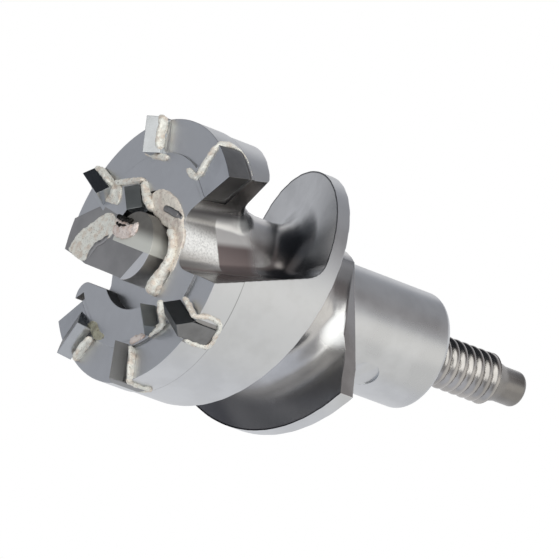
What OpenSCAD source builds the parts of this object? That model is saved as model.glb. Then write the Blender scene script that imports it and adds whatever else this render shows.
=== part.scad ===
// Two-wing core drill head: a steel body with two flutes that run on as a
// two-start auger, brazed hard-metal cutters, a core breaker on the axis and
// a round shank with a stud. The head stands on the tips of its cutters.
// Angles run anticlockwise seen from the cutting face, from the +X side, and
// depths run up from the cutting face. Lengths are millimetres.

/* [Head] */
// Diameter of the guide band behind the cutting face
head_d = 80; // [76:0.5:90]
// Height of the guide band
band_h = 10.3; // [6:0.1:14]
// Step on the radius from the guide band to the body behind it
band_relief = 0.4; // [0.1:0.1:1]
// Depth from the cutting face to the rear shoulder
head_h = 64.7; // [62:0.1:72]
// Width of the outer ring of the cutting face
ring_w = 10.3; // [8:0.1:12]
// How far the outer ring lies below the cutting face
ring_drop = 0.8; // [0.2:0.1:1.5]
// Radius of the counterbore round the core breaker
bore_r = 18; // [16.5:0.1:18.5]
// Depth of the counterbore
bore_depth = 3.9; // [2:0.1:6]

/* [Flutes and auger] */
// Angle of the trailing lobe's edge at the cutting face
heel_a = 45; // [42:0.5:48]
// Angle of the leading lobe's edge at the cutting face
lead_a = -2.4; // [-5:0.1:0]
// Turn of the trailing edge for each millimetre of depth
heel_twist = 0.42; // [0.3:0.01:0.5]
// Turn of the leading edge for each millimetre of depth
lead_twist = 0.51; // [0.4:0.01:0.6]
// Depth at which the flute turns into the auger groove
heel_depth = 16.6; // [14:0.1:18]
// Lead of the auger for one full turn
auger_lead = 60; // [56:0.5:64]
// Thickness of the auger flight at its rim
flight_t = 4.5; // [3.5:0.1:6]
// Radius of the core at the flute
flute_core_r = 19.6; // [18.5:0.1:21]
// Radius of the core at the bottom of the auger groove
auger_core_r = 20.8; // [19.5:0.1:22]
// Fillet at the foot of the flute walls
flute_fillet = 4.5; // [3:0.1:6]
// Fillet at the foot of the flights
auger_fillet = 9.5; // [6:0.1:11]
// Corner round where the leading edge runs on into the flight
corner_round = 5; // [3:0.1:7]
// Distance of the rear flats from the axis
flat_r = 18.3; // [18.1:0.1:19]
// Direction that a rear flat faces
flat_a = 34.8; // [30:0.1:40]
// Length of the rear flats
flat_h = 10.7; // [8:0.1:12]

/* [Shank] */
// Diameter of the shank
shank_d = 36; // [32:0.5:36]
// Length of the shank
shank_h = 38; // [30:0.1:50]
// Round on the rear edge of the shank
shank_round = 2; // [0.5:0.1:3]
// Diameter of the shallow spot flat on the shank
spot_d = 10; // [6:0.5:12]
// Height of the spot flat's centre above the shoulder
spot_h = 14; // [10:0.5:20]
// Direction that the spot flat faces
spot_a = -40; // [-60:1:-20]
// Depth of the spot flat
spot_depth = 0.6; // [0.3:0.1:1]

/* [Stud] */
// Outer diameter of the stud's thread
stud_d = 16; // [14:0.5:18]
// Length of the threaded part
stud_h = 27.9; // [20:0.1:36]
// Length of the cone from the thread to the pilot end
cone_h = 5.2; // [3:0.1:8]
// Diameter of the cone where it leaves the thread
cone_d = 14; // [13:0.1:14]
// Diameter of the pilot end
pilot_d = 11; // [9:0.1:12.5]
// Length of the pilot end
pilot_h = 7.4; // [5:0.1:10]
// Round on the pilot end
pilot_round = 1.6; // [0.5:0.1:2.5]

/* [Cutters] */
// How far the outer ends of the cutters stand out of the guide band
gauge_step = 0.4; // [0.1:0.1:1]
// Height of the cutter tips above the cutting face
tip_h = 4.6; // [4.4:0.1:6]
// Depth of the cutters below the cutting face
cutter_depth = 8.6; // [6:0.1:10]
// Length of the face, lead and heel cutters inside the guide band
cutter_len = 11.1; // [9:0.1:12]
// Angle at which the back of a cutter falls away
flank = 41; // [30:1:45]
// Width of a face cutter along the direction of cut
face_w = 4.4; // [4:0.1:6]
// Angle at which the leading side of a face cutter leans back
face_rake = 6; // [2:1:15]
// Angle of the first face cutter's edge
face_a1 = 114.1; // [110:0.1:118]
// Angle of the second face cutter's edge
face_a2 = 291; // [286:0.1:296]
// Width of a lead or inner cutter along the direction of cut
lead_w = 6; // [5:0.1:7]
// Angle at which the leading side of a lead cutter leans back
lead_rake = 30; // [20:1:34]
// Angle of the first lead cutter's edge
lead_a1 = 159; // [156:0.1:162]
// Angle of the second lead cutter's edge
lead_a2 = 336.2; // [333:0.1:338]
// Angle at which the leading side of an inner cutter leans back
inner_rake = 14; // [5:1:25]
// Width of an inner cutter along the direction of cut
inner_w = 4.6; // [4:0.1:6]
// Angle of the first inner cutter's edge
inner_a1 = 133.5; // [131:0.1:136]
// Angle of the second inner cutter's edge
inner_a2 = 317.2; // [315:0.1:319]
// Radius of the first inner cutter's inner end
inner_r1 = 12.6; // [12.2:0.1:13.5]
// Radius of the second inner cutter's inner end
inner_r2 = 21.2; // [20.5:0.1:22]
// Length of an inner cutter along the radius
inner_len = 8.2; // [7:0.1:9]
// Angle that a heel cutter spans
heel_span = 21.5; // [18:0.5:23]
// Depth of the heel cutters below the cutting face
heel_cutter_depth = 8; // [6:0.1:10]
// Share of the second heel cutter that rises to an edge
heel_rise = 0.52; // [0.4:0.01:0.6]

/* [Braze] */
// Width of the braze seam round a cutter
seam = 1.2; // [0.8:0.1:1.6]
// Height of a braze seam above the cutting face
bead = 1; // [0.4:0.1:1]
// Height of the ring of braze round the post above the cutting face
ring_bead = 1.3; // [0.5:0.1:2]
// Angle at which the ring of braze starts
ring_a0 = -50; // [-60:1:-40]
// Angle at which the ring of braze ends
ring_a1 = 92; // [70:1:100]

/* [Core breaker] */
// Diameter of the post on the axis
post_d = 20.6; // [18:0.1:22]
// Depth to which the core breaker is let into the body
breaker_depth = 12; // [8:0.1:16]
// Height of the post's end above the cutting face
post_tip = 4.3; // [3:0.1:4.4]
// How far the plate's flute side lies inside the post's edge
plate_inset = 0.3; // [0:0.1:1]
// Reach of the plate's inner seat across the axis plane
plate_seat = 7.8; // [7:0.1:8.5]
// Distance from the axis at which the plate's seat turns towards the rim
plate_turn = 28.4; // [27:0.1:30]
// Distance of the gullet's straight side from the axis
gullet_side = 0.5; // [0.2:0.1:2]
// Distance of the gullet's slanted side from the axis
gullet_edge = 6.3; // [4:0.1:8]
// Direction that the gullet's slanted side faces
gullet_a = 146; // [135:1:155]
// Radius of the sweep at the gullet's outer end
gullet_sweep_r = 15; // [13:0.1:16]
// Height of the braze crescent at the gullet
crescent_h = 2.2; // [1:0.1:2.5]

/* [Hidden] */
steel = [0.62, 0.62, 0.64];
dark_steel = [0.42, 0.42, 0.42];
hard_metal = [0.22, 0.23, 0.26];
silver_solder = [0.88, 0.87, 0.82];
clear = 1;
fine = 180;
medium = 120;
coarse = 60;
head_r = head_d / 2;
ring_r = head_r - ring_w;
cutter_r = head_r - cutter_len;
gauge_r = head_r + gauge_step;
face_z = tip_h;
shoulder_z = face_z + head_h;
shank_z = shoulder_z + shank_h;
thread_z = shank_z + stud_h;
cone_z = thread_z + cone_h;
pilot_z = cone_z + pilot_h;
body_r = head_r - band_relief;
heel_corner_a = heel_a + heel_twist * heel_depth;
groove_w = auger_lead / 2 - flight_t;
rise = auger_lead / 360;
outside_r = gauge_r + 4;
post_r = post_d / 2;
plate_low = post_r - plate_inset;
sweep_at = [-9, -11];
crescent_in = 20;
crescent_at = [crescent_in - head_r, -9];
crescent_r = 17;
crescent_front = 1;
crescent_foot = 9;
ring_sink = 1;
heel_slant = 3;
open_a = 5;
plate_bend_x = 26.4;
plate_end_x = 30.4;
plate_bow = 0.8;
plate_notch_y = 1.2;
plate_step_x = 19;
plate_step_y = 6.8;
plate_neck = 4.5;
boss_at = [-20.2, -19];
boss_r = 4.4;
boss_h = 11;
boss_x = -10;
breakout_x = -26;

// Point at a radius and an angle
function polar(r, a) = [r * cos(a), -r * sin(a)];
// Number part of the way from one value to another
function mix(p, q, t) = p + (q - p) * t;
// Point part of the way round a corner, with the corner as control point
function bend(p, corner, q, t) = mix(mix(p, corner, t), mix(corner, q, t), t);
// Depth of the groove's front edge at an angle
function groove_front(a) = heel_depth + rise * (a - heel_corner_a);
// Depth of the groove's rear edge, which is the front of the next flight
function groove_rear(a) = groove_front(a) + groove_w;

// The void of one flute and its groove is swept between two edges at the rim,
// each a list of [angle, depth]. The trailing edge runs down the heel and
// turns round its corner, the leading edge turns into the flight.
flute_steps = 12;
turn_steps = 12;
groove_steps = 30;
arc_steps = 5;
flute_fillet_s = 0.16;
auger_fillet_s = 0.36;
heel_soft = 1.2;
groove_start_a = heel_corner_a + 3;
groove_end_a = heel_corner_a + (head_h + clear - heel_depth) / rise;
lead_corner_a = (lead_a + lead_twist * (heel_depth + groove_w - rise * heel_corner_a))
    / (1 - lead_twist * rise);
lead_corner_w = groove_rear(lead_corner_a);
corner_da = corner_round / head_r * 180 / PI;

function heel_line(w) = [heel_a + heel_twist * w, w];
function lead_line(w) = [lead_a + lead_twist * w, w];
function front_line(a) = [a, groove_front(a)];
function rear_line(a) = [a, groove_rear(a)];

heel_edge = concat(
    [for (i = [0:flute_steps - 1]) heel_line(mix(-clear, heel_depth - heel_soft, i / flute_steps))],
    [for (i = [0:turn_steps]) bend(heel_line(heel_depth - heel_soft),
        [heel_corner_a, heel_depth], front_line(groove_start_a), i / turn_steps)]);
lead_edge = concat(
    [for (i = [0:flute_steps - 1]) lead_line(mix(-clear, lead_corner_w - corner_round, i / flute_steps))],
    [for (i = [0:turn_steps / 2 - 1]) bend(lead_line(lead_corner_w - corner_round),
        [lead_corner_a, lead_corner_w], rear_line(lead_corner_a + corner_da), i * 2 / turn_steps)],
    [for (i = [0:turn_steps / 2]) rear_line(mix(lead_corner_a + corner_da, groove_start_a,
        i * 2 / turn_steps))]);
groove_angles = [for (i = [1:groove_steps]) mix(groove_start_a, groove_end_a, i / groove_steps)];
edge_0 = concat(heel_edge, [for (a = groove_angles) front_line(a)]);
edge_1 = concat(lead_edge, [for (a = groove_angles) rear_line(a)]);
sections = len(edge_0);

// Section of the void: share of the way across and radius, with a fillet of
// share f_s and height f_r at the foot of each wall
function side(f_s, f_r, core_r) =
    [for (i = [0:arc_steps]) let (b = 90 * i / arc_steps)
        [f_s * (1 - cos(b)), core_r + f_r * (1 - sin(b))]];
function section(t) = let (
        f_r = mix(flute_fillet, auger_fillet, t),
        f_s = mix(flute_fillet_s, auger_fillet_s, t),
        core_r = mix(flute_core_r, auger_core_r, t),
        half = concat([[0, outside_r]], side(f_s, f_r, core_r)))
    concat(half, [for (i = [len(half) - 1:-1:0]) [1 - half[i][0], half[i][1]]]);
// The section changes from flute to groove while the edges turn
function blend_at(i) = min(1, max(0, (i - flute_steps / 2) / (flute_steps / 2 + turn_steps)));
function void_point(i, p) = let (e = mix(edge_0[i], edge_1[i], p[0]))
    concat(polar(p[1], e[0]), [face_z + e[1]]);

module flute_void() {
    rows = [for (i = [0:sections - 1]) [for (p = section(blend_at(i))) void_point(i, p)]];
    n = len(rows[0]);
    sides = [for (i = [0:sections - 2], j = [0:n - 1], k = [0, 1])
        k == 0 ? [i * n + j, (i + 1) * n + (j + 1) % n, (i + 1) * n + j]
               : [i * n + j, i * n + (j + 1) % n, (i + 1) * n + (j + 1) % n]];
    first = [for (j = [n - 1:-1:0]) j];
    last = [for (j = [0:n - 1]) (sections - 1) * n + j];
    polyhedron([for (row = rows) for (p = row) p], concat([first], sides, [last]), convexity = 10);
}

// Turned outline of the steel body, from the cutting face to the pilot end
module body_blank() {
    rotate_extrude($fn = fine) {
        difference() {
            union() {
                translate([0, face_z]) square([head_r, band_h]);
                translate([0, face_z]) square([body_r, head_h]);
                translate([0, face_z]) square([shank_d / 2, head_h + shank_h - shank_round]);
                translate([0, face_z]) square([shank_d / 2 - shank_round, head_h + shank_h]);
                translate([shank_d / 2 - shank_round, shank_z - shank_round])
                    circle(shank_round, $fn = coarse);
                translate([0, face_z]) square([stud_d / 2, thread_z - face_z]);
                polygon([[0, thread_z - clear], [cone_d / 2, thread_z - clear], [cone_d / 2, thread_z],
                    [pilot_d / 2, cone_z], [pilot_d / 2, pilot_z - pilot_round],
                    [0, pilot_z - pilot_round]]);
                translate([0, cone_z]) square([pilot_d / 2 - pilot_round, pilot_h]);
                translate([pilot_d / 2 - pilot_round, pilot_z - pilot_round])
                    circle(pilot_round, $fn = coarse);
            }
            translate([ring_r, face_z - clear]) square([head_d, ring_drop + clear]);
            translate([-head_d, face_z - clear]) square([head_d, 2 * pilot_z]);
        }
    }
}

// Turns what is drawn along +X to a face angle
module turn(a) rotate([0, 0, -a]) children();

// Solid beyond a rear flat
module flat_cut(a) {
    turn(a) translate([flat_r, -head_d, shoulder_z - flat_h])
        cube([head_d, 2 * head_d, flat_h]);
}

// Everything inside a given radius over the height of the head
module within(r) translate([0, 0, -clear]) cylinder(r = r, h = shoulder_z, $fn = fine);

// Cutter block drawn along +X with its cutting edge over the X axis and its
// leading side at -Y
module cutter_block(r_in, r_out, width, lean) {
    nose = tip_h * tan(lean);
    translate([r_in, 0, 0]) rotate([90, 0, 90]) linear_extrude(r_out - r_in)
        polygon([[-nose, face_z + cutter_depth], [width - nose, face_z + cutter_depth],
            [width - nose, (width - nose) * tan(flank)], [0, 0], [-nose, face_z]]);
}

// Seat of a cutter with its seam before, behind, below and inside, drawn along +X
module seat_block(r_in, r_out, width, lean) {
    translate([r_in - seam, -seam - tip_h * tan(lean), face_z - bead])
        cube([r_out - r_in + seam, width + 2 * seam, bead + cutter_depth + seam]);
}

module rim_cutter(a, width, lean) {
    color(hard_metal) intersection() {
        turn(a) cutter_block(cutter_r, outside_r, width, lean);
        within(gauge_r);
    }
}
module rim_seat(a, width, lean) turn(a) seat_block(cutter_r, outside_r, width, lean);
module rim_braze(a, width, lean) {
    color(silver_solder) difference() {
        intersection() {
            rim_seat(a, width, lean);
            within(head_r);
        }
        rim_cutter(a, width, lean);
    }
}

module inner_cutter(a, r) {
    color(hard_metal) turn(a) cutter_block(r, r + inner_len, inner_w, inner_rake);
}
module inner_seat(a, r) turn(a) seat_block(r, r + inner_len, inner_w, inner_rake);
module inner_braze(a, r) {
    color(silver_solder) difference() {
        inner_seat(a, r);
        inner_cutter(a, r);
    }
}

// Plan of a heel cutter from its flute side, widened by a seam where given
module heel_plan(a, grow) {
    spread = grow / ring_r * 180 / PI;
    polygon([polar(cutter_r - grow, a), polar(cutter_r - grow, a + heel_span + spread),
        polar(outside_r, a + heel_span - heel_slant + spread), polar(outside_r, a)]);
}
// Pocket of a heel cutter, open to the flute
module heel_pocket(a) {
    translate([0, 0, face_z - bead]) linear_extrude(heel_cutter_depth + bead + seam) {
        heel_plan(a, seam);
        polygon([polar(cutter_r - seam, a - open_a), polar(cutter_r - seam, a + open_a),
            polar(outside_r, a + open_a), polar(outside_r, a - open_a)]);
    }
}
// Half space behind the leaning wall of the flute
module behind_wall(a) {
    lean = atan(heel_twist * PI / 180 * (cutter_r + gauge_r) / 2);
    turn(a) translate([0, 0, face_z]) rotate([lean, 0, 0])
        translate([-head_d, -2 * head_d, -head_d]) cube(2 * head_d);
}
module heel_plate(a) {
    color(hard_metal) intersection() {
        translate([0, 0, face_z]) linear_extrude(heel_cutter_depth) heel_plan(a, 0);
        within(gauge_r);
        behind_wall(a);
    }
}
// Leading part of the second heel cutter, a wedge up to a full-height edge
module heel_wedge(a) {
    nose = tip_h * tan(lead_rake) / 2;
    run = heel_span * heel_rise * PI / 180 * head_r;
    color(hard_metal) intersection() {
        turn(a + heel_span) translate([cutter_r, 0, 0]) rotate([90, 0, 90])
            linear_extrude(outside_r - cutter_r)
                polygon([[-nose, face_z], [run, face_z], [0, 0]]);
        within(gauge_r);
    }
}
module heel_cutter(a, raised) {
    heel_plate(a);
    if (raised) heel_wedge(a);
}
module heel_braze(a, raised) {
    color(silver_solder) difference() {
        intersection() {
            translate([0, 0, face_z - bead]) linear_extrude(heel_cutter_depth + bead + seam)
                heel_plan(a, seam);
            behind_wall(a);
            within(head_r);
        }
        translate([0, 0, face_z - 2 * bead]) linear_extrude(heel_cutter_depth + 2 * bead)
            heel_plan(a, 0);
        if (raised) heel_wedge(a);
    }
}

// Plan of the plate between the post and the rim, in the far flute
module plate_plan() {
    polygon([[0, plate_low], [-plate_bend_x, plate_low], [-plate_end_x, plate_low - plate_bow],
        [-outside_r, plate_low - 3 * plate_bow], [-outside_r, plate_notch_y], [-plate_turn, -plate_seat],
        [-plate_step_x, -plate_step_y], [-post_r, -plate_neck], [0, -plate_neck]]);
}
// Post and plate in full, from a depth up to the front of the plate
module breaker_blank(front) {
    translate([0, 0, face_z - front]) cylinder(r = post_r, h = breaker_depth + front, $fn = medium);
    translate([0, 0, face_z]) linear_extrude(breaker_depth) intersection() {
        plate_plan();
        circle(head_r, $fn = fine);
    }
}
module core_breaker() {
    color(dark_steel) difference() {
        breaker_blank(post_tip);
        translate([0, 0, face_z - 2 * post_tip]) linear_extrude(2 * post_tip) intersection() {
            translate([-head_d, gullet_side]) square(2 * head_d);
            rotate(-gullet_a) translate([-gullet_edge, -head_d]) square(2 * head_d);
        }
        rim_seat(lead_a1, lead_w, lead_rake);
    }
}
// Crescent of braze on the plate, falling away from the gullet
module plate_braze() {
    color(silver_solder) intersection() {
        translate([sweep_at[0], -sweep_at[1], face_z - crescent_h])
            cylinder(r1 = gullet_sweep_r + crescent_front, r2 = gullet_sweep_r + crescent_foot,
                h = crescent_h, $fn = medium);
        translate([0, 0, face_z - crescent_h]) linear_extrude(crescent_h) difference() {
            intersection() {
                plate_plan();
                translate([crescent_at[0], -crescent_at[1]]) circle(crescent_r, $fn = medium);
            }
            translate([sweep_at[0], -sweep_at[1]]) circle(gullet_sweep_r, $fn = medium);
            circle(post_r, $fn = medium);
        }
    }
}
// Ring of braze that fills the near side of the counterbore
module core_braze() {
    mid_r = (post_r + bore_r) / 2;
    color(silver_solder) intersection() {
        difference() {
            turn(ring_a1) rotate_extrude(angle = ring_a1 - ring_a0, $fn = medium) {
                translate([post_r, face_z]) square([bore_r - post_r, bore_depth]);
                translate([mid_r, face_z + ring_sink]) circle(ring_bead + ring_sink, $fn = coarse);
            }
            inner_seat(inner_a1, inner_r1);
            inner_seat(inner_a2, inner_r2);
        }
        within(bore_r);
    }
}

// Rounded boss on the heel of the second lobe, beside the counterbore
module heel_boss() {
    translate([boss_at[0], -boss_at[1], face_z]) {
        cylinder(r = boss_r, h = boss_h, $fn = coarse);
        translate([0, -boss_r, 0]) cube([boss_x - boss_at[0], 2 * boss_r, boss_h]);
    }
}

module body() {
    color(steel) difference() {
        union() {
            difference() {
                body_blank();
                flute_void();
                turn(180) flute_void();
            }
            heel_boss();
        }
        flat_cut(flat_a);
        flat_cut(flat_a + 180);
        translate([0, 0, face_z - clear]) cylinder(r = bore_r, h = bore_depth + clear, $fn = fine);
        translate([breakout_x, plate_low, face_z - clear])
            cube([boss_x - breakout_x, -boss_at[1] - boss_r - plate_low, bore_depth + clear]);
        turn(spot_a) translate([shank_d / 2 - spot_depth, 0, shoulder_z + spot_h])
            rotate([0, 90, 0]) cylinder(d = spot_d, h = spot_d, $fn = coarse);
        breaker_blank(post_tip);
        rim_seat(face_a1, face_w, face_rake);
        rim_seat(face_a2, face_w, face_rake);
        rim_seat(lead_a1, lead_w, lead_rake);
        rim_seat(lead_a2, lead_w, lead_rake);
        inner_seat(inner_a1, inner_r1);
        inner_seat(inner_a2, inner_r2);
        heel_pocket(heel_a);
        heel_pocket(heel_a + 180);
    }
}

body();
rim_cutter(face_a1, face_w, face_rake);  // face_cutter_1
rim_cutter(face_a2, face_w, face_rake);  // face_cutter_2
rim_cutter(lead_a1, lead_w, lead_rake);  // lead_cutter_1
rim_cutter(lead_a2, lead_w, lead_rake);  // lead_cutter_2
inner_cutter(inner_a1, inner_r1);  // inner_cutter_1
inner_cutter(inner_a2, inner_r2);  // inner_cutter_2
rim_braze(face_a1, face_w, face_rake);  // face_braze_1
rim_braze(face_a2, face_w, face_rake);  // face_braze_2
rim_braze(lead_a1, lead_w, lead_rake);  // lead_braze_1
rim_braze(lead_a2, lead_w, lead_rake);  // lead_braze_2
inner_braze(inner_a1, inner_r1);  // inner_braze_1
inner_braze(inner_a2, inner_r2);  // inner_braze_2
core_breaker();
core_braze();
plate_braze();
heel_cutter(heel_a, false);  // heel_cutter_1
heel_cutter(heel_a + 180, true);  // heel_cutter_2
heel_braze(heel_a, false);  // heel_braze_1
heel_braze(heel_a + 180, true);  // heel_braze_2
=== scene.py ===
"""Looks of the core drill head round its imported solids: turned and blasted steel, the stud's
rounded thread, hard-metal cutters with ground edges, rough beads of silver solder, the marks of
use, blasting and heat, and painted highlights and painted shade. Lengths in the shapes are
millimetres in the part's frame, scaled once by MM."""
import math

import bmesh
import bpy
import numpy as np
from mathutils import Matrix, Vector, noise
from mathutils.kdtree import KDTree


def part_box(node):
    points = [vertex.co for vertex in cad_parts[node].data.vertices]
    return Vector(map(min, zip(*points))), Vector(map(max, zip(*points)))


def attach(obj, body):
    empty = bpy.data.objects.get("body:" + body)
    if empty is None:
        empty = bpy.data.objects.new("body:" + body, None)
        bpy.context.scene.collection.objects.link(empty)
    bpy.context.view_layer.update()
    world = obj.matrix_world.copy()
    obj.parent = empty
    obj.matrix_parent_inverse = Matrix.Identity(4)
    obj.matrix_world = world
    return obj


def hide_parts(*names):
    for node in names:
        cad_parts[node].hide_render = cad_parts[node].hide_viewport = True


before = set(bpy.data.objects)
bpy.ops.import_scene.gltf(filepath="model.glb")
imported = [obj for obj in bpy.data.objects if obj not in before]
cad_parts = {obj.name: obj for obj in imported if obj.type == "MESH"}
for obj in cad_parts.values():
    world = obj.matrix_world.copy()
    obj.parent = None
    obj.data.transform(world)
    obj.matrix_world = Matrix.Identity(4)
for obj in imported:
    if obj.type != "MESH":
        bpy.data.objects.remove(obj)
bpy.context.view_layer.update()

MM = 0.001

# The tool's main sizes in millimetres: lengths (h), heights above the tips (z) and radii (r)
face_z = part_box("body")[0].z / MM
head_h = 64.7
band_h = 10.3
shoulder_z = face_z + head_h
shank_z = 107.3
thread_z = 135.2
head_r = 40.0
body_r = 39.6
shank_r = 18.0
stud_r = 8.0
ring_r = 29.7
ring_drop = 0.8
bore_r = 18.0
post_r = 10.3
edge_break = 0.15


def polar(r, a, w=0.0):
    """Point in millimetres at a radius, an angle seen from the cutting face and a depth."""
    t = math.radians(a)
    return Vector((r * math.cos(t), -r * math.sin(t), face_z + w))


# Camera, from the photograph: it looks at the cutting face from below
view_azimuth = 89.6
view_elevation = -34.3
view_roll = 110.7
view_target = Vector((22.5, -6.1, 37.7)) * MM
view_distance = 2167 * MM
frame_px = 559
distance_px = 7488


def view_axes():
    """Right, up and back of the camera."""
    a, e, roll = (math.radians(x) for x in (view_azimuth, view_elevation, view_roll))
    back = Vector((math.sin(a) * math.cos(e), -math.cos(a) * math.cos(e), math.sin(e)))
    level = Vector((0, 0, 1)).cross(back).normalized()
    right = level * math.cos(roll) + back.cross(level) * math.sin(roll)
    return right, back.cross(right), back


def make_camera():
    """The photograph's camera."""
    right, up, back = view_axes()
    data = bpy.data.cameras.new("camera")
    data.sensor_width = 36
    data.lens = data.sensor_width * distance_px / frame_px
    data.clip_start, data.clip_end = 0.1, 20
    camera = bpy.data.objects.new("camera", data)
    bpy.context.scene.collection.objects.link(camera)
    turn = Matrix((right, up, back)).transposed().to_4x4()
    camera.matrix_world = Matrix.Translation(view_target + view_distance * back) @ turn
    bpy.context.scene.camera = camera


class Nodes:
    """Short hand for a material's or the world's node tree."""

    def __init__(self, tree):
        self.tree = tree
        tree.nodes.clear()

    def add(self, kind, **values):
        """Node of a kind, with values for its settings and sockets."""
        node = self.tree.nodes.new("ShaderNode" + kind)
        for key, value in values.items():
            if hasattr(node, key):
                setattr(node, key, value)
            else:
                node.inputs[key].default_value = value
        return node

    def link(self, output, node, socket):
        self.tree.links.new(output, node.inputs[socket])

    def axes(self, vector):
        """The parts of a vector."""
        node = self.add("SeparateXYZ")
        self.link(vector, node, 0)
        return node.outputs

    def math(self, operation, a, b=None):
        node = self.add("Math", operation=operation)
        for i, value in enumerate((a, b)):
            if isinstance(value, (int, float)):
                node.inputs[i].default_value = value
            elif value is not None:
                self.tree.links.new(value, node.inputs[i])
        return node.outputs[0]

    def times(self, *values):
        """Product of values."""
        product = values[0]
        for value in values[1:]:
            product = self.math("MULTIPLY", product, value)
        return product

    def noise(self, vector, scale, detail=3.0, rough=0.55):
        node = self.add("TexNoise", Scale=scale, Detail=detail, Roughness=rough)
        self.link(vector, node, "Vector")
        return node.outputs["Fac"]

    def ramp(self, value, low, high, to_low=0.0, to_high=1.0):
        """Soft step of a value between two marks."""
        marks = {"From Min": low, "From Max": high, "To Min": to_low, "To Max": to_high}
        node = self.add("MapRange", interpolation_type="SMOOTHSTEP", **marks)
        self.link(value, node, "Value")
        return node.outputs["Result"]

    def fade(self, length, low, high, to_low=0.0, to_high=1.0):
        """Soft step of a length between two marks in millimetres."""
        return self.ramp(length, low * MM, high * MM, to_low, to_high)

    def mix(self, factor, a, b):
        """Colour between two, each one a fixed colour or an output."""
        node = self.add("Mix", data_type="RGBA")
        for i, value in ((0, factor), (6, a), (7, b)):
            if isinstance(value, (int, float)):
                node.inputs[i].default_value = value
            elif isinstance(value, tuple):
                node.inputs[i].default_value = (*value, 1)
            else:
                self.tree.links.new(value, node.inputs[i])
        return node.outputs[2]


def grey(value, warm=0.0):
    """A grey of linear value, warmer or cooler by a small share."""
    return (value * (1 + warm), value, value * (1 - warm))


def new_material(name):
    """Empty material and its nodes."""
    material = bpy.data.materials.new(name)
    material.use_nodes = True
    return material, Nodes(material.node_tree)


def give_relief(n, shader, height, strength, distance, edge=0):
    """Fine relief and, where asked, softened edges for a shader, which becomes the surface."""
    bump = n.add("Bump", Strength=strength, Distance=distance)
    n.link(height, bump, "Height")
    if edge:
        bevel = n.add("Bevel", samples=4, Radius=edge * MM)
        n.link(bevel.outputs["Normal"], bump, "Normal")
    n.link(bump.outputs["Normal"], shader, "Normal")
    n.link(shader.outputs[0], n.add("OutputMaterial"), "Surface")


def steel(name, base, rough, mottle=0.12, grain=1.0, grain_scale=2600, edge=0.25, marks=None):
    """Satin steel with a mottled colour and roughness, a fine grain and softened edges. Marks
    are a function that gives the marked colour and how dull it is, from 0 to 1, or None."""
    material, n = new_material(name)
    place = n.add("TexCoord").outputs["Object"]
    cloud = n.noise(place, 90, 4)
    dark = tuple(c * (1 - mottle) for c in base)
    light = tuple(min(1, c * (1 + mottle)) for c in base)
    colour = n.mix(n.ramp(cloud, 0.35, 0.65), dark, light)
    gloss = n.ramp(cloud, 0.3, 0.7, rough * 0.88, rough * 1.12)
    shader = n.add("BsdfPrincipled", Metallic=1.0)
    if marks:
        colour, dull = marks(n, place, colour)
        if dull is not None:
            gloss = n.math("ADD", gloss, n.times(dull, 0.35))
            n.link(n.math("SUBTRACT", 1.0, n.times(dull, 0.7)), shader, "Metallic")
    n.link(colour, shader, "Base Color")
    n.link(gloss, shader, "Roughness")
    give_relief(n, shader, n.noise(place, grain_scale, 2, 0.7), 0.12 * grain, 0.0002, edge)
    return material


def spot(n, place, centre, full, gone):
    """Share of a soft round spot about a place in millimetres, and of its twin half a turn on."""
    gaps = []
    for turn in (1, -1):
        gap = n.add("VectorMath", operation="DISTANCE")
        twin = (centre[0] * turn, centre[1] * turn, centre[2])
        gap.inputs[1].default_value = [c * MM for c in twin]
        n.link(place, gap, 0)
        gaps.append(gap.outputs["Value"])
    return n.fade(n.math("MINIMUM", *gaps), full, gone, 1, 0)


def blasted_speckle_and_painted_stripe(n, place, across):
    """Blasted frosting, speckled, and painted light: a bright stripe along the flute that is a
    painted highlight, between darker sides that are painted shade. Gives its colour and the
    stripe's share."""
    stripe = n.times(n.fade(across, 0.5, 6.5), n.fade(across, 8.5, 14, 1, 0.15))
    speck = n.times(n.ramp(n.noise(place, 1600, 4, 0.7), 0.25, 0.62),
                    n.ramp(n.noise(place, 350), 0.2, 0.5, 0.7, 1))
    speckled = n.mix(speck, (0.62, 0.60, 0.57), (1.0, 0.98, 0.94))
    return n.mix(stripe, (0.30, 0.29, 0.28), speckled), stripe


def heat_tint_and_painted_bands(n, at, across):
    """Bands along the flute, partly a brown heat tint and partly painted light: a dark brown band,
    a bright band of painted highlight and a dark band of painted shade, whose edges drift outwards
    with depth.
    """
    drift = n.times(n.math("SUBTRACT", at["Z"], (face_z + 15) * MM), 0.2)
    height = n.math("SUBTRACT", across, drift)
    bands = n.mix(n.fade(height, 8.8, 11), (0.22, 0.18, 0.175), (0.80, 0.79, 0.77))
    return n.mix(n.fade(height, 16.2, 18.4), bands, (0.26, 0.25, 0.25))


# Painted shade: soft dark spots in the groove's pocket, where it lies in shadow and mirrors dark:
# place, radii at which each is full and gone, share, colour
pocket_painted_shade = [
    ((25, -15, 43.5), 3, 15, 0.78, (0.06, 0.07, 0.08)),
    ((17, -17.5, 43.4), 3, 8, 0.6, (0.06, 0.065, 0.08)),
    ((18.5, -8, 40), 3, 9, 0.6, (0.16, 0.13, 0.12)),
    ((28, -5, 43), 4, 12, 0.4, (0.12, 0.13, 0.15)),
]


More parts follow.
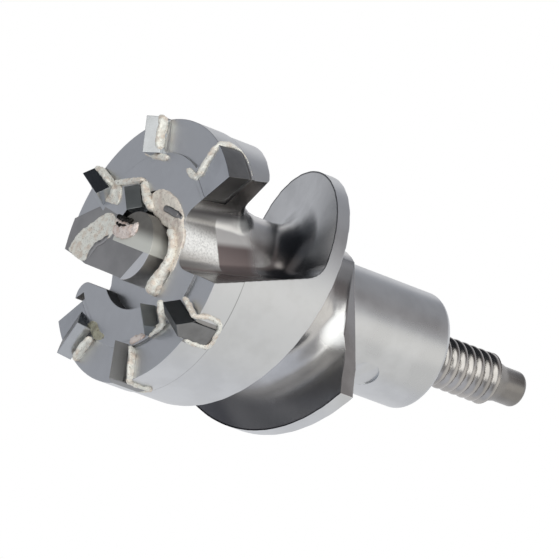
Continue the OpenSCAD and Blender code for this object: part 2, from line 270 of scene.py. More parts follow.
def flute_marks(n, place, colour):
    """Marks of blasting and heat on the flutes and the grooves, with painted highlights and painted
    shade among them.
    """
    at = n.axes(place)
    facing = n.axes(n.add("TexCoord").outputs["Normal"])["Z"]
    across = n.math("ABSOLUTE", at["Y"])
    radius = n.math("SQRT", n.math("ADD", n.times(at["X"], at["X"]), n.times(at["Y"], at["Y"])))
    slanted = n.math("ADD", at["Z"], n.times(across, 0.28))

    # Painted highlight and shade in bands on the flute's floor, with a brown heat tint
    banded = n.times(n.fade(radius, 22.5, 25.5, 1, 0),
                     n.fade(slanted, face_z + 25, face_z + 31, 1, 0))
    colour = n.mix(banded, colour, heat_tint_and_painted_bands(n, at, across))
    # Blasted speckle near the face, with a painted highlight stripe and painted shade beside it
    blasted = n.times(n.fade(radius, 20.5, 22.5, 1, 0),
                      n.fade(slanted, face_z + 14.6, face_z + 15.2, 1, 0))
    speckle_and_painted_light, stripe = blasted_speckle_and_painted_stripe(n, place, across)
    colour = n.mix(blasted, colour, speckle_and_painted_light)

    # Painted shade: the flute's sides near the face are darkened where they lie in shadow
    shaded_sides = n.times(n.fade(radius, 23.5, 27), n.fade(at["Z"], face_z + 12, face_z + 22, 1, 0))
    colour = n.mix(shaded_sides, colour, (0.17, 0.165, 0.16))
    # painted shade spots, each with its twin half a turn on
    for centre, full, gone, share, tint in pocket_painted_shade:
        colour = n.mix(n.times(spot(n, place, centre, full, gone), share), colour, tint)
    # Painted highlight: a white spot on the groove's floor by the shank, and its twin
    painted_highlight = n.times(spot(n, place, (22.3, 1.5, 64.2), 3.2, 7.5), n.ramp(facing, -0.28, -0.08, 1, 0))
    colour = n.mix(painted_highlight, colour, (1.0, 1.0, 0.98))

    front = n.ramp(facing, -0.7, -0.5, 1, 0)
    # Painted shade: a dark patch on one side of the flights' front faces, where they mirror dark
    painted_dark_patch = n.times(front, n.fade(at["Y"], 4, 12, 0, 0.8), n.fade(radius, 26, 32.5))
    colour = n.mix(painted_dark_patch, colour, (0.15, 0.155, 0.17))
    # Painted shadow: a thin dark line round the outer edge of the front faces
    rim = n.times(front, n.fade(radius, 39.0, 39.3))
    colour = n.mix(rim, colour, (0.03, 0.03, 0.035))
    dull = n.math("MAXIMUM", n.times(blasted, stripe), n.times(banded, 0.35))
    return colour, n.math("MAXIMUM", dull, n.times(painted_highlight, 0.7))


def band_shadow_line(n, place, colour):
    """Painted shadow: a dark line where the guide band steps down to the drum."""
    gap = n.math("ABSOLUTE", n.math("SUBTRACT", n.axes(place)["Z"], (face_z + band_h + 0.1) * MM))
    line = n.times(n.fade(gap, 0.1, 0.32, 1, 0), n.ramp(n.noise(place, 60), 0.3, 0.6, 0.45, 1))
    return n.mix(line, colour, (0.13, 0.13, 0.13)), None


def solder_film_and_pit_shade(n, place, colour):
    """Thin pale film of solder over the post, which fades into painted shade towards the inner
    cutter, where the pit under the blob's edge lies in shadow.
    """
    side = n.axes(place)["Y"]
    edge = n.fade(side, 0.35, 0.6, 1, 0)
    # painted shade of the shadowed pit beside the blob
    dark = n.mix(n.noise(place, 300), (0.12, 0.11, 0.10), (0.2, 0.19, 0.17))
    film = n.mix(n.fade(side, -6.5, -1.8), dark, (0.68, 0.67, 0.61))
    return n.mix(edge, colour, film), n.times(edge, 0.8)


def solder(name, pale, warm, rough=0.5):
    """Rough silver solder: cream with warmer patches and small pits."""
    material, n = new_material(name)
    place = n.add("TexCoord").outputs["Object"]
    fine = n.noise(place, 1900, 3, 0.65)
    pit = tuple(c * 0.55 for c in warm)
    colour = n.mix(n.ramp(n.noise(place, 420, 3), 0.42, 0.68), pale, warm)
    colour = n.mix(n.ramp(fine, 0.3, 0.44, 1, 0), colour, pit)
    shader = n.add("BsdfPrincipled", Metallic=0.35, Roughness=rough)
    n.link(colour, shader, "Base Color")
    give_relief(n, shader, fine, 0.6, 0.0003)
    return material


def link_piece(name, mesh, materials, replaced=()):
    """Makes a piece of the mesh, in millimetres already scaled, that rides with the tool."""
    piece = bpy.data.objects.new(name, mesh)
    bpy.context.scene.collection.objects.link(piece)
    for material in materials:
        mesh.materials.append(material)
    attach(piece, "root")
    if replaced:
        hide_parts(*replaced)
    return piece


def applied(piece):
    """Applies the piece's modifiers to its mesh."""
    graph = bpy.context.evaluated_depsgraph_get()
    mesh = bpy.data.meshes.new_from_object(piece.evaluated_get(graph))
    piece.modifiers.clear()
    piece.data = mesh
    return piece


def new_mesh(name, m):
    """Mesh of a finished bmesh, with its faces turned outwards."""
    bmesh.ops.recalc_face_normals(m, faces=m.faces)
    mesh = bpy.data.meshes.new(name)
    m.to_mesh(mesh)
    m.free()
    return mesh


def node_mesh(node, work=None):
    """Bare copy of a node's mesh, joined where its corners are doubled, with some work done."""
    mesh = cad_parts[node].data.copy()
    mesh.materials.clear()
    m = bmesh.new()
    m.from_mesh(mesh)
    bmesh.ops.remove_doubles(m, verts=m.verts, dist=2e-6)
    if work:
        work(m)
    m.to_mesh(mesh)
    m.free()
    return mesh


def add_rings(m, rings, ends=True):
    """Adds a tube of rings of points in millimetres, with end faces or joined end to end."""
    loops = [[m.verts.new(p * MM) for p in ring] for ring in rings]
    count = len(rings[0])
    for one, two in zip(loops, loops[1:] if ends else loops[1:] + loops[:1]):
        for i in range(count):
            j = (i + 1) % count
            m.faces.new((one[i], one[j], two[j], two[i]))
    if ends:
        m.faces.new(list(reversed(loops[0])))
        m.faces.new(loops[-1])


# The stud's rounded thread
pitch = 3.2
thread_depth = 0.95
crest_r = 7.96


def thread_radius(z, turn):
    """Radius of the thread's surface at a height and a turn round the axis."""
    t = (z - shank_z) / pitch - turn
    fade = min(1, (z - shank_z) / 1.2, (thread_z - z) / 1.0)
    return crest_r - thread_depth * max(0, fade) * (1 - abs(math.sin(math.pi * t)) ** 0.75)


def thread_cutter():
    """Ring of waste round the stud, whose inside is the thread."""
    around, per_turn = 72, 14
    outer = stud_r + 0.6
    count = int((thread_z - shank_z) / pitch * per_turn)
    heights = np.linspace(shank_z + 0.15, thread_z - 0.02, count)

    def ring(z, radius=None):
        points = []
        for i in range(around):
            turn = i / around
            r = radius or thread_radius(z, turn)
            points.append(Vector((r * math.cos(turn * math.tau), r * math.sin(turn * math.tau), z)))
        return points

    m = bmesh.new()
    rows = [ring(z) for z in heights] + [ring(heights[-1], outer), ring(heights[0], outer)]
    add_rings(m, rows, ends=False)
    return new_mesh("thread_waste", m)


# The void of one flute and its groove, swept between two edges as in the solids: angles at the
# rim, twists in degrees per millimetre of depth, depths below the face, and fillets as a share
# of the width and a height
clear = 1.0
heel_a, heel_twist, heel_depth, heel_soft = 45.0, 0.42, 16.6, 1.2
lead_a, lead_twist, corner_round = -2.4, 0.51, 5.0
rise = 60 / 360
groove_w = 25.5
flute_core, groove_core = 19.6, 20.8
flute_fillet, groove_fillet = (0.16, 4.5), (0.36, 9.5)
flute_part, turn_part, groove_part = 12, 12, 30
heel_corner_a = heel_a + heel_twist * heel_depth
groove_start = heel_corner_a + 3
groove_end = heel_corner_a + (head_h + clear - heel_depth) / rise
lead_corner_a = ((lead_a + lead_twist * (heel_depth + groove_w - rise * heel_corner_a))
                 / (1 - lead_twist * rise))


def between(p, q, t):
    """Value a share of the way from one to another."""
    return p + (q - p) * t


def bend(p, corner, q, t):
    """Point on the round bend between two points about a corner."""
    return between(between(p, corner, t), between(corner, q, t), t)


def front_line(a):
    """Point of the groove's front edge, as an angle and a depth."""
    return np.array([a, heel_depth + rise * (a - heel_corner_a)])


def rear_line(a):
    """Point of the groove's rear edge."""
    return front_line(a) + (0, groove_w)


def void_edges(u):
    """Points of the trailing and the leading edge at a place along the sweep."""
    if u > flute_part + turn_part:
        a = between(groove_start, groove_end, (u - flute_part - turn_part) / groove_part)
        return front_line(a), rear_line(a)
    corner_w = rear_line(lead_corner_a)[1]
    past = lead_corner_a + math.degrees(corner_round / head_r)
    heel_w = between(-clear, heel_depth - heel_soft, min(1, u / flute_part))
    lead_w = between(-clear, corner_w - corner_round, min(1, u / flute_part))
    heel = np.array([heel_a + heel_twist * heel_w, heel_w])
    lead = np.array([lead_a + lead_twist * lead_w, lead_w])
    t = (u - flute_part) / turn_part
    if t > 0:
        heel = bend(heel, front_line(heel_corner_a), front_line(groove_start), t)
    if t > 0.5:
        lead = rear_line(between(past, groove_start, t * 2 - 1))
    elif t > 0:
        lead = bend(lead, rear_line(lead_corner_a), rear_line(past), t * 2)
    return heel, lead


def void_surface(per_step=10):
    """Grid of points on the void's surface, in millimetres, and its normals."""
    rows = []
    for i in range((flute_part + turn_part + groove_part) * per_step + 1):
        u = i / per_step
        heel, lead = void_edges(u)
        t = min(1, max(0, (u - flute_part / 2) / (flute_part / 2 + turn_part)))
        share, height = between(np.array(flute_fillet), np.array(groove_fillet), t)
        core = between(flute_core, groove_core, t)
        half = [(0, r) for r in np.linspace(head_r + 1, core + height, 22, endpoint=False)]
        half += [(share * (1 - math.cos(b)), core + height * (1 - math.sin(b)))
                 for b in np.linspace(0, math.pi / 2, 24)]
        half += [(x, core) for x in np.linspace(share, 0.5, 6)[1:]]
        row = half + [(1 - x, r) for x, r in reversed(half[:-1])]
        rows.append([tuple(polar(r, *between(heel, lead, x))) for x, r in row])
    grid = np.array(rows)
    normals = np.cross(np.gradient(grid, axis=0), np.gradient(grid, axis=1)).reshape(-1, 3)
    normals /= np.maximum(np.linalg.norm(normals, axis=1, keepdims=True), 1e-9)
    return grid.reshape(-1, 3), normals


class VoidNormals:
    """Looks up the true normal of the two voids near a point."""

    def __init__(self):
        self.points, self.normals = void_surface()
        self.tree = KDTree(len(self.points))
        for i, p in enumerate(self.points):
            self.tree.insert(p, i)
        self.tree.balance()

    def near(self, p, facing, reach=0.7):
        """Normal within reach of a point, turned to the side that its face shows, or None."""
        for turn in (1, -1):
            _, i, gap = self.tree.find((p[0] * turn, p[1] * turn, p[2]))
            if gap < reach:
                n = Vector(self.normals[i])
                n = Vector((n.x * turn, n.y * turn, n.z))
                share = n.dot(facing)
                if abs(share) > 0.75:
                    return n if share > 0 else -n
        return None


def surface_of(centre, normal):
    """Kind of surface that a face of the body belongs to."""
    x, y, z = centre
    r = math.hypot(x, y)
    out = (normal[0] * x + normal[1] * y) / max(r, 0.01)
    slack = 0.05
    if z > shank_z + slack and r < stud_r + 2 * slack:
        return "stud" if z < thread_z + slack else "pilot"
    if z > shoulder_z + slack and r > stud_r:
        return "shank"
    if r > body_r - 0.3 and out > 0.9:
        return "turned"
    if (normal[2] < -0.98 and z < face_z + 5) or normal[2] > 0.98:
        return "turned"
    if abs(r - ring_r) < 0.1 and z < face_z + 1 and abs(out) > 0.9:
        return "step"
    if abs(r - bore_r) < 0.2 and z < face_z + 6 and abs(out) > 0.9:
        return "bore"
    return "blasted"


def smooth_normals(mesh, angle=35, known_normals=None):
    """Soft shading: exact normals on turned and swept surfaces, and averaged ones on the rest."""
    points = np.array([v.co for v in mesh.vertices]) / MM
    around = {}
    for p in mesh.polygons:
        for v in p.vertices:
            around.setdefault(v, []).append(p.index)
    normals = [None] * len(mesh.loops)
    limit = math.cos(math.radians(angle))
    face_n = [p.normal.copy() for p in mesh.polygons]
    area = [p.area for p in mesh.polygons]
    for p in mesh.polygons:
        n0 = face_n[p.index]
        for loop in p.loop_indices:
            v = mesh.loops[loop].vertex_index
            x, y, z = points[v]
            r = math.hypot(x, y)
            radial = Vector((x, y, 0)) / max(r, 1e-6)
            known = min(abs(r - k) for k in (head_r, body_r, shank_r)) < 0.02
            if known and radial.dot(n0) > 0.97 and abs(n0.z) < 0.02:
                normals[loop] = radial
                continue
            exact = known_normals.near(points[v], n0) if known_normals else None
            if exact:
                normals[loop] = exact
                continue
            total = Vector((0, 0, 0))
            for q in around[v]:
                if face_n[q].dot(n0) > limit:
                    total += face_n[q] * area[q]
            normals[loop] = total.normalized() if total.length > 0 else n0
    mesh.polygons.foreach_set("use_smooth", [True] * len(mesh.polygons))
    mesh.normals_split_custom_set([tuple(n) for n in normals])


def steel_body(materials):
    """The body's solid with its thread cut, and each surface in its own finish."""
    names = list(materials)
    finishes = [materials[name] for name in names]
    piece = link_piece("steel_body", node_mesh("body"), finishes, ["body"])
    waste = bpy.data.objects.new("waste", thread_cutter())
    bpy.context.scene.collection.objects.link(waste)
    cut = piece.modifiers.new("thread", "BOOLEAN")
    cut.object, cut.solver, cut.operation = waste, "EXACT", "DIFFERENCE"
    applied(piece)
    bpy.data.objects.remove(waste)
    for p in piece.data.polygons:
        p.material_index = names.index(surface_of(p.center / MM, p.normal))
    smooth_normals(piece.data, known_normals=VoidNormals())


def ground_cutter(node, look, end, rear):
    """A cutter's solid with its edges broken, and finishes of their own for its outer end and
    its rear."""
    def flatten(m):
        bmesh.ops.dissolve_limit(m, angle_limit=math.radians(1), verts=m.verts, edges=m.edges)

    mesh = node_mesh(node, flatten)
    piece = link_piece(node + "_ground", mesh, [look, end, rear], [node])
    rounding = piece.modifiers.new("edges", "BEVEL")
    rounding.width, rounding.segments = edge_break * MM, 2
    rounding.limit_method, rounding.angle_limit = "ANGLE", math.radians(35)
    applied(piece)
    for p in piece.data.polygons:
        x, y, z = p.center
        out = Vector((x, y, 0)).normalized()
        if out.dot(p.normal) > 0.96 and math.hypot(x, y) > head_r * MM:
            p.material_index = 1
        elif p.normal.dot(out.cross(Vector((0, 0, 1)))) < -0.5:
            p.material_index = 2
    smooth_normals(piece.data, 25)


def core_breaker(materials):
    """The post and its plate, with lighter copies of its milled steel on the post's end and near
    side, which are painted light.
    """
    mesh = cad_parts["core_breaker"].data.copy()
    mesh.materials.clear()
    piece = link_piece("breaker", mesh, materials, ["core_breaker"])
    for p in piece.data.polygons:
        x, y, z = p.center / MM
        end = p.normal.z < -0.9 and z < face_z - 1
        side = math.hypot(x, y) > post_r - 0.5 and x > 0
        p.material_index = 1 if end else 2 if side else 0
    smooth_normals(piece.data, 25)


def spline(stations, steps=8):
    """Points of a smooth line through stations of any number of values."""
    flat = [np.array(p, dtype=float) for p in stations]
    flat = [flat[0]] + flat + [flat[-1]]
    line = []
    for a, b, c, d in zip(flat, flat[1:], flat[2:], flat[3:]):
        for t in np.arange(steps) / steps:
            line.append(0.5 * (2 * b + (c - a) * t + (2 * a - 5 * b + 4 * c - d) * t * t
                               + (3 * b - 3 * c + d - a) * t ** 3))
    return line + [flat[-1]]


def add_run(m, stations, wide, high, on_drum=False):
    """Adds a rounded run through stations (radius, angle, depth, share of the width)."""
    stations = [p if len(p) == 4 else (*p, 1) for p in stations]
    line = [(polar(*p[:3]), p[3]) for p in spline(stations)]
    rings = []
    for i, (p, share) in enumerate(line):
        along = (line[min(i + 1, len(line) - 1)][0] - line[max(i - 1, 0)][0]).normalized()
        up = Vector((p.x, p.y, 0)).normalized() if on_drum else Vector((0, 0, -1))
        side = along.cross(up).normalized()
        up = side.cross(along).normalized()
        end = min(i, len(line) - 1 - i) * (line[1][0] - line[0][0]).length / (wide / 2)
        share *= math.sqrt(max(0.06, 1 - max(0, 1 - end) ** 2))
        angles = [math.tau * k / 12 for k in range(12)]
        rings.append([p + side * math.cos(a) * wide / 2 * share + up * math.sin(a) * high * share
                      for a in angles])
    add_rings(m, rings)


def add_patch(m, outline, low, high):
    """Adds a flat patch with an outline (radius, angle), between two depths."""
    points = [p[:2] for p in spline([*outline, outline[0]], 4)][:-1]
    bottom, top = ([m.verts.new(polar(r, a, w) * MM) for r, a in points] for w in (low, high))
    for i in range(len(points)):
        j = (i + 1) % len(points)
        m.faces.new((bottom[i], bottom[j], top[j], top[i]))
    m.faces.new(list(reversed(bottom)))
    m.faces.new(top)


def solder_piece(name, material, runs, patches, replaced=(), rough=0.16, fine=0.3, seed=1):
    """Piece of solder: runs and patches that flow together, with a lumpy skin."""
    m = bmesh.new()
    for run in runs:
        add_run(m, *run)
    for patch in patches:
        add_patch(m, *patch)
    piece = link_piece(name, new_mesh(name, m), [material], replaced)
    join = piece.modifiers.new("join", "REMESH")
    join.mode, join.voxel_size, join.use_smooth_shade = "VOXEL", fine * MM, True
    soften = piece.modifiers.new("soften", "SMOOTH")
    soften.factor, soften.iterations = 0.6, 3
    applied(piece)
    mesh = piece.data
    normals = [v.normal.copy() for v in mesh.vertices]
    for v, n in zip(mesh.vertices, normals):
        p = v.co / MM
        coarse = noise.noise(p * 0.8 + Vector((seed, 0, 0)))
        wave = coarse * 1.6 + noise.noise(p * 2.4 + Vector((0, seed, 0)))
        v.co += n * wave * rough * MM
    mesh.polygons.foreach_set("use_smooth", [True] * len(mesh.polygons))


def flush_seam(node, material, front):
    """A cutter's seam, cut down to the faces of the head and its lower outer ring."""
    low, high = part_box(node)
    way = Vector(((low.x + high.x) / 2, (low.y + high.y) / 2, 0)).normalized()

    def cut_down(m):
        parts = m.verts[:] + m.edges[:] + m.faces[:]
        bmesh.ops.bisect_plane(m, geom=parts, plane_co=way * ring_r * MM, plane_no=way)
        for v in m.verts:
            if v.co.z < face_z * MM - 1e-5:
                on_ring = v.co.dot(way) > (ring_r + 0.01) * MM
                v.co.z = (face_z + (ring_drop if on_ring else 0)) * MM
        bmesh.ops.triangulate(m, faces=m.faces)

    mesh = node_mesh(node, cut_down)
    link_piece(node + "_seam", mesh, [material, front], [node])
    for p in mesh.polygons:
        p.material_index = p.normal.z < -0.9


# Solder as it lies on the head: name, finish, runs, patches and how its skin differs. A run has
# stations (radius, angle, depth, share of the width), a width and a height, and True where it
# lies on the drum. A patch has an outline (radius, angle) and two depths.
solder_layout = [
    ("face_run_1", "pale", [
        ([(41.0, 110.6, -0.9), (38.3, 108.8, -0.8), (34.7, 109.2, -0.8), (29.9, 107.6, -0.9)],
         2.3, 1.7),
        ([(31.6, 123, -0.1, 0.6), (29.4, 115, -0.1), (28.2, 107, -0.1, 1.2),
          (27.7, 99.5, 0, 0.9)], 1.7, 1.0),
    ], [], {"seed": 3}),
    ("lead_run_1", "pale", [
        ([(41, 154.8, -0.6), (37.5, 153.4, -0.6), (34.7, 152.5, -0.7), (30.7, 151.8, -0.5)],
         2.0, 1.8),
        ([(30.7, 150.6, 0), (28.4, 153.6, 0, 1.3), (27.6, 158.5, 0.2)], 2.4, 0.8),
    ], [
        ([(30.2, 150), (26.8, 146.6), (24.6, 149), (23, 155.5), (26.4, 159.5), (31.2, 163),
          (31.5, 158.5)], 0.8, -0.45),
    ], {"seed": 5}),
    ("inner_run_1", "pale", [
        ([(30.2, 150.2, -0.2), (27, 142.6, -0.3), (24.6, 134, -0.3), (22.2, 122.5, -0.3)],
         1.9, 1.2),
        ([(21.7, 120.5, -0.4), (18.4, 118.2, -0.5), (14.8, 112, -0.4, 1.2),
          (11.6, 99, 0, 1.1)], 2.3, 1.6),
    ], [], {"seed": 7}),
    ("core_run", "pale", [
        ([(12.4, 40, 0, 0.7), (14.6, 28, -0.4, 0.75), (15.6, 14, -0.5, 0.7),
          (15.9, 0, -0.5, 0.8), (15.6, -13, -0.4, 1.0), (15.7, -26, -0.2, 1.35),
          (16.6, -35, 0, 1.45), (17.2, -40, 0.2, 1.1)], 3.4, 2.2),
    ], [], {"replaced": ["core_braze"], "seed": 11, "rough": 0.12}),
    ("core_blob", "beige", [
        ([(17, 106, 0.1, 0.9), (17.4, 92, 0), (17.5, 74, 0), (17.6, 56, 0), (17.8, 40, 0),
          (17.6, 28, 0.1)], 2.4, 0.8),
    ], [
        ([(17, 109), (18, 89), (18.9, 67), (19.1, 50), (19, 40), (14, 40), (10.6, 55),
          (10.4, 77), (10.6, 94), (13.6, 106)], 2.0, -0.55),
        ([(18.9, 44), (19.2, 30), (19.1, 10), (18.8, -8), (16.5, -8), (14.6, 10), (13, 30),
          (12, 44)], 1.0, -0.2),
    ], {"seed": 13, "rough": 0.12}),
    ("core_streak", "seam", [], [
        ([(13.2, 73), (14.8, 76), (16.6, 61), (18.6, 49), (19.2, 43), (18.3, 41), (15.6, 51),
          (14, 62)], 0, -0.85),
    ], {"seed": 15, "rough": 0.08}),
    ("pitted_blob", "pink", [
        ([(12.6, 165, -4.1, 0.8), (9.4, 163, -4.3), (6.0, 150, -4.4, 1.1), (4.6, 115, -4.4),
          (6.6, 92, -4.2, 0.9)], 4.0, 0.9),
        ([(13.6, 157, -3.8, 0.7), (10, 150, -4.1, 0.8), (7.2, 132, -4.2, 0.8)], 2.0, 0.9),
    ], [], {"seed": 17, "rough": 0.2, "fine": 0.25}),
    # black runs in the pitted blob
    ("dark_pit_runs", "black", [
        ([(14.4, 152, -4.2, 0.8), (11.4, 146, -4.6), (8.6, 132, -4.8, 1.2),
          (7.6, 118, -4.6, 0.7)], 1.3, 0.7),
        ([(12, 157, -4.6, 0.6), (9.2, 152, -5, 0.8), (7, 138, -5, 0.6)], 0.9, 0.5),
    ], [], {"seed": 18, "rough": 0.3, "fine": 0.2}),
    ("crescent_run", "pale", [], [
        ([(37.9, 192.2), (36.4, 186.6), (33.9, 181.8), (30.2, 176.2), (26.2, 167.6),
          (22.4, 163), (18.6, 166), (18.1, 178.5), (21.5, 186.4), (24.4, 190.4), (26.6, 195),
          (28.6, 199), (33, 196.4)], 0.7, -0.3),
    ], {"replaced": ["plate_braze"], "seed": 19, "rough": 0.12}),
    ("crescent_edge", "seam", [
        ([(18.2, 176, 0.2, 0.6), (21.4, 184.6, 0.1), (24.2, 188.6, 0.1), (26.2, 193.6, 0.2),
          (27.6, 198.4, 0.3, 0.7)], 1.9, 0.7),
    ], [], {"seed": 21, "rough": 0.1}),
    ("heel_run_1", "pale", [
        ([(27.4, 75.4, 0.1, 0.9), (27.4, 67.4, 0), (28.6, 61, 0)], 2.1, 1.1),
        ([(28.9, 61.6, 0), (32.4, 63.2, 0.3), (36.2, 64.2, 0.4), (40, 64.4, 0.4)], 2.3, 1.5),
        ([(40, 63.8, -0.2), (40.1, 66.4, 2.8, 1.1), (40.1, 67.6, 5.6), (40, 67.8, 8.2, 0.5),
          (40, 65, 9.6, 0.3), (40, 57, 9.8, 0.22), (40, 49.4, 9.6, 0.2)], 2.3, 0.8, True),
    ], [], {"seed": 23}),
    ("face_run_2", "pale", [
        ([(29.6, 294.6, 0, 0.9), (33, 296.4, 0.2), (36.8, 296, 0.3), (40, 295.9, 0.4)],
         1.5, 1.5),
        ([(40.1, 295.8, -0.4), (40.2, 293.6, 1.7), (40.2, 293.2, 6), (40.1, 294.2, 8.6, 1.1),
          (40, 290, 9.3, 0.7), (40, 285, 9.4, 0.5)], 1.7, 0.8, True),
    ], [], {"seed": 29}),
    ("face_foot_2", "pink", [
        ([(28.4, 292.6, 0, 0.9), (28, 299.6, 0), (28.4, 307.8, 0, 0.7)], 2.3, 0.7),
    ], [], {"seed": 31}),
    ("inner_run_2", "pale", [
        ([(21.8, 327.6, -0.2), (25.6, 325.2, -0.2), (30.5, 323.4, 0)], 2.2, 1.3),
        ([(29.3, 309.9, 0.1, 0.7), (29.2, 316.7, 0), (29.9, 323.4, 0.1)], 2.1, 0.9),
    ], [], {"seed": 37}),
    ("lead_run_2", "pale", [
        ([(31.6, 345.1, -0.9, 0.8), (36.3, 343.6, -0.9), (41, 342.4, -0.9)], 1.5, 1.2),
        ([(32.9, 329, 0.5, 0.8), (36.5, 330.4, 0.5), (40.1, 331.5, 0.5)], 1.4, 0.6),
        ([(40.1, 341.9, -0.6), (40.2, 343.3, 1.7), (40.2, 344.1, 4.6), (40.2, 343.4, 7.6),
          (40.2, 341.7, 9.1), (40.2, 337.4, 9.5), (40.2, 332.9, 9.8), (40.2, 331.1, 8.4),
          (40.1, 330.6, 5), (40, 330.9, 1.2)], 1.6, 0.8, True),
    ], [], {"seed": 41}),
    ("heel_run_2", "pale", [
        ([(30.2, 254.0, -0.3, 0.9), (34.4, 252.0, -0.3, 1.1), (39.5, 250.9, 0)], 1.9, 1.5),
    ], [], {"seed": 43}),
    ("heel_foot_2", "dark", [
        ([(29.6, 242.5, 0.2, 0.7), (27.9, 248.7, 0.1, 1.1), (28.6, 256.7, 0.1),
          (27.8, 264.7, 0.2, 0.7)], 3.4, 0.5),
    ], [], {"seed": 47}),
]


def make_materials():
    """Finishes of the steel, the hard metal and the solder, by name."""
    return {
        # turned steel, with the painted shadow line at the band's step
        "turned": steel("turned_steel_shadow_line", grey(0.61, -0.02), 0.34, 0.05, 0.8, marks=band_shadow_line),
        # blasted steel, carrying the painted highlights and painted shade of flute_marks
        "blasted": steel("blasted_steel_painted_light", grey(0.52, 0.01), 0.22, 0.08, 0.7, 3000,
                         marks=flute_marks),
        "shank": steel("ground_steel", grey(0.58, -0.02), 0.3, 0.06, 0.5),
        "stud": steel("dark_steel", grey(0.40, 0.04), 0.2, 0.15, 1.0),
        "pilot": steel("pilot_steel", grey(0.25, 0.04), 0.26, 0.15, 1.0),
        "hard_metal": steel("hard_metal", grey(0.5, -0.03), 0.2, 0.08, 0.4, 2600, 0.1),
        "breaker": steel("milled_steel", grey(0.42, 0.02), 0.42, 0.12, 1.2),
        # lighter copies of the milled steel, painted light, on the post's end and its near side
        "breaker_tip_lit": steel("milled_tip_lit", grey(0.85, 0.0), 0.35, 0.05, 1.0, marks=solder_film_and_pit_shade),
        "breaker_side_lit": steel("milled_side_lit", grey(0.5, 0.04), 0.42, 0.12, 1.2, marks=solder_film_and_pit_shade),
        "step": solder("step_edge", (0.26, 0.26, 0.27), (0.22, 0.22, 0.22)),
        # painted shade: the counterbore's inside near black, where it lies in shadow
        "bore": steel("bore_wall_painted_shade", grey(0.09), 0.4, 0.2, 1.0),
        "flank": steel("flank_steel", grey(0.16, 0.02), 0.35, 0.2, 1.0),
        "hard_dull": steel("hard_metal_dull", (0.26, 0.275, 0.28), 0.42, 0.08, 0.6, 2600, 0.1),
        "hard_worn": steel("hard_metal_worn", grey(0.26), 0.6, 0.1, 0.6, 2600, 0.1),
        "hard_dark": steel("hard_metal_dark", grey(0.12, -0.06), 0.5, 0.15, 0.6, 2600, 0.1),
        "black": steel("black_pit_marks", (0.03, 0.028, 0.025), 0.5, 0.3, 1.5, 1500),
        "hard_end": steel("hard_metal_end", grey(0.21, -0.01), 0.36, 0.2, 1.0, 1500, 0.1),
        "pale": solder("silver_solder", (0.86, 0.84, 0.76), (0.74, 0.64, 0.54)),
        "beige": solder("beige_solder", (0.84, 0.77, 0.67), (0.70, 0.60, 0.52)),
        "pink": solder("pink_solder", (0.82, 0.72, 0.66), (0.68, 0.52, 0.44)),
        "dark": solder("dull_solder", (0.42, 0.40, 0.30), (0.25, 0.23, 0.17)),
        "seam": steel("solder_seam", grey(0.32, 0.02), 0.4, 0.1, 1.0),
    }


# What the metal mirrors: soft areas of the studio, each with its direction in the camera's frame
# (right, up, back), the angles at which it is full and gone, and its colour
studio_areas = [
    ((0.0, 0.0, 1.0), 55, 115, (0.60, 0.60, 0.61)),
    ((-0.66, 0.30, -0.69), 22, 48, (0.61, 0.63, 0.67)),
    ((-0.93, 0.30, 0.10), 22, 48, (0.50, 0.51, 0.55)),
    ((-0.84, 0.48, 0.25), 10, 30, (0.18, 0.18, 0.20)),
    ((-0.45, -0.70, 0.50), 20, 50, (0.72, 0.75, 0.82)),
    ((0.05, -0.42, 0.90), 8, 26, (0.42, 0.42, 0.43)),
    ((0.75, -0.62, 0.15), 24, 48, (0.90, 0.885, 0.86)),
    ((0.94, -0.20, 0.28), 9, 24, (1.12, 1.09, 1.04)),
    ((0.91, 0.40, 0.10), 8, 20, (0.52, 0.50, 0.50)),
    ((0.68, 0.70, 0.10), 12, 30, (0.20, 0.18, 0.18)),
    ((0.44, 0.57, -0.70), 5, 13, (0.44, 0.45, 0.49)),
    ((0.68, 0.60, -0.42), 7, 20, (0.42, 0.42, 0.44)),
    ((-0.15, 0.97, -0.10), 36, 58, (0.035, 0.038, 0.045)),
    ((-0.56, 0.62, -0.55), 9, 23, (0.06, 0.065, 0.075)),
    ((-0.28, 0.34, 0.90), 14, 30, (2.0, 2.0, 1.95)),
    ((0.20, 0.54, 0.82), 16, 32, (1.9, 1.9, 1.85)),
    ((0.30, 0.14, 0.95), 14, 28, (1.9, 1.9, 1.85)),
]


def camera_way(direction):
    """World direction of one given in the camera's frame at rest."""
    right, up, back = view_axes()
    return (right * direction[0] + up * direction[1] + back * direction[2]).normalized()


def make_lights():
    """White for the camera, a studio of soft areas for gloss, and an even sky for the rest."""
    world = bpy.data.worlds.new("studio")
    world.use_nodes = True
    bpy.context.scene.world = world
    n = Nodes(world.node_tree)
    path = n.add("LightPath")
    way = n.add("TexCoord").outputs["Generated"]
    colour = (0.86, 0.86, 0.88)
    for direction, full, gone, value in studio_areas:
        dot = n.add("VectorMath", operation="DOT_PRODUCT")
        dot.inputs[1].default_value = camera_way(direction)
        n.link(way, dot, 0)
        ends = (math.cos(math.radians(angle)) for angle in (gone, full))
        share = n.ramp(dot.outputs["Value"], *ends)
        colour = n.mix(share, colour, value)
    even = n.add("Background", Color=(0.9, 0.95, 1, 1), Strength=0.7)
    white = n.add("Background", Color=(1, 1, 1, 1), Strength=1.0)
    areas = n.add("Background", Strength=1.0)
    n.link(colour, areas, "Color")
    glossy = n.add("MixShader")
    n.link(path.outputs["Is Glossy Ray"], glossy, 0)
    n.link(even.outputs[0], glossy, 1)
    n.link(areas.outputs[0], glossy, 2)
    seen = n.math("MAXIMUM", path.outputs["Is Camera Ray"], path.outputs["Is Transmission Ray"])
    mix = n.add("MixShader")
    n.link(seen, mix, 0)
    n.link(glossy.outputs[0], mix, 1)
    n.link(white.outputs[0], mix, 2)
    n.link(mix.outputs[0], n.add("OutputWorld"), "Surface")


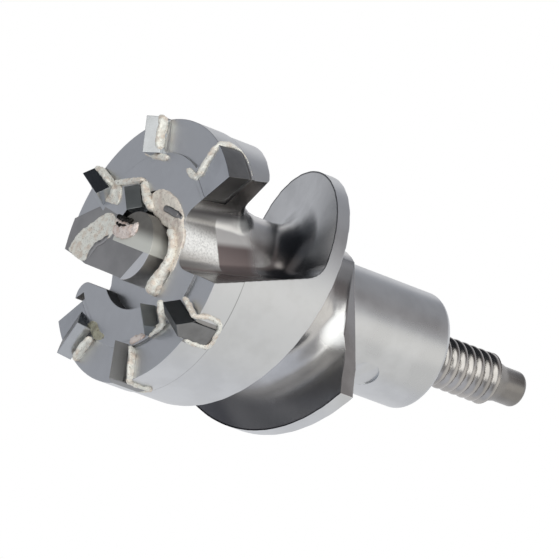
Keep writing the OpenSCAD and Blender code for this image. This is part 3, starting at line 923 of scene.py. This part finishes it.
def make_lamp(name, direction, distance, size, power):
    """Soft lamp in a direction of the camera's frame, which gives no glint of its own."""
    way = camera_way(direction)
    data = bpy.data.lights.new(name, "AREA")
    data.shape, data.size, data.energy = "DISK", size * MM, power
    lamp = bpy.data.objects.new(name, data)
    bpy.context.scene.collection.objects.link(lamp)
    lamp.visible_glossy = False
    lamp.matrix_world = (Matrix.Translation(view_target + way * distance * MM)
                         @ way.to_track_quat("Z", "Y").to_matrix().to_4x4())


def make_floor():
    """Pale floor under the tips that shows from above only, so the view from below is open."""
    material, n = new_material("floor")
    path = n.add("LightPath")
    above = n.math("SUBTRACT", 1.0, n.add("NewGeometry").outputs["Backfacing"])
    shown = n.math("MULTIPLY", path.outputs["Is Camera Ray"], above)
    mix = n.add("MixShader")
    n.link(shown, mix, 0)
    n.link(n.add("BsdfTransparent").outputs[0], mix, 1)
    n.link(n.add("BsdfDiffuse", Color=(0.93, 0.93, 0.93, 1)).outputs[0], mix, 2)
    n.link(mix.outputs[0], n.add("OutputMaterial"), "Surface")
    mesh = bpy.data.meshes.new("floor")
    half = 15.0
    corners = [(x * half, y * half, 0) for x, y in ((-1, -1), (1, -1), (1, 1), (-1, 1))]
    mesh.from_pydata(corners, [], [(0, 1, 2, 3)])
    mesh.materials.append(material)
    floor = bpy.data.objects.new("floor", mesh)
    bpy.context.scene.collection.objects.link(floor)


bpy.context.scene.view_settings.view_transform = "Standard"
make_camera()
make_floor()
make_lights()
make_lamp("key_lamp", (0.3, 0.6, 0.75), 700, 500, 3.0)

materials = make_materials()
body_finishes = ("turned", "blasted", "shank", "stud", "pilot", "step", "bore")
steel_body({name: materials[name] for name in body_finishes})
core_breaker([materials[name] for name in ("breaker", "breaker_tip_lit", "breaker_side_lit")])
cutter_finishes = {
    "inner_cutter_1": "hard_dull", "inner_cutter_2": "hard_dull",
    "face_cutter_2": "hard_worn", "lead_cutter_2": "hard_dark",
}
for kind in ("face", "lead", "inner", "heel"):
    for i in (1, 2):
        cutter = f"{kind}_cutter_{i}"
        look = materials[cutter_finishes.get(cutter, "hard_metal")]
        heel = kind == "heel"
        ground_cutter(cutter, look, materials["hard_end"], materials["flank"] if heel else look)
        flush_seam(f"{kind}_braze_{i}", materials["flank" if heel else "seam"],
                   materials["turned"])
for name, finish, runs, patches, skin in solder_layout:
    solder_piece(name, materials[finish], runs, patches, **skin)
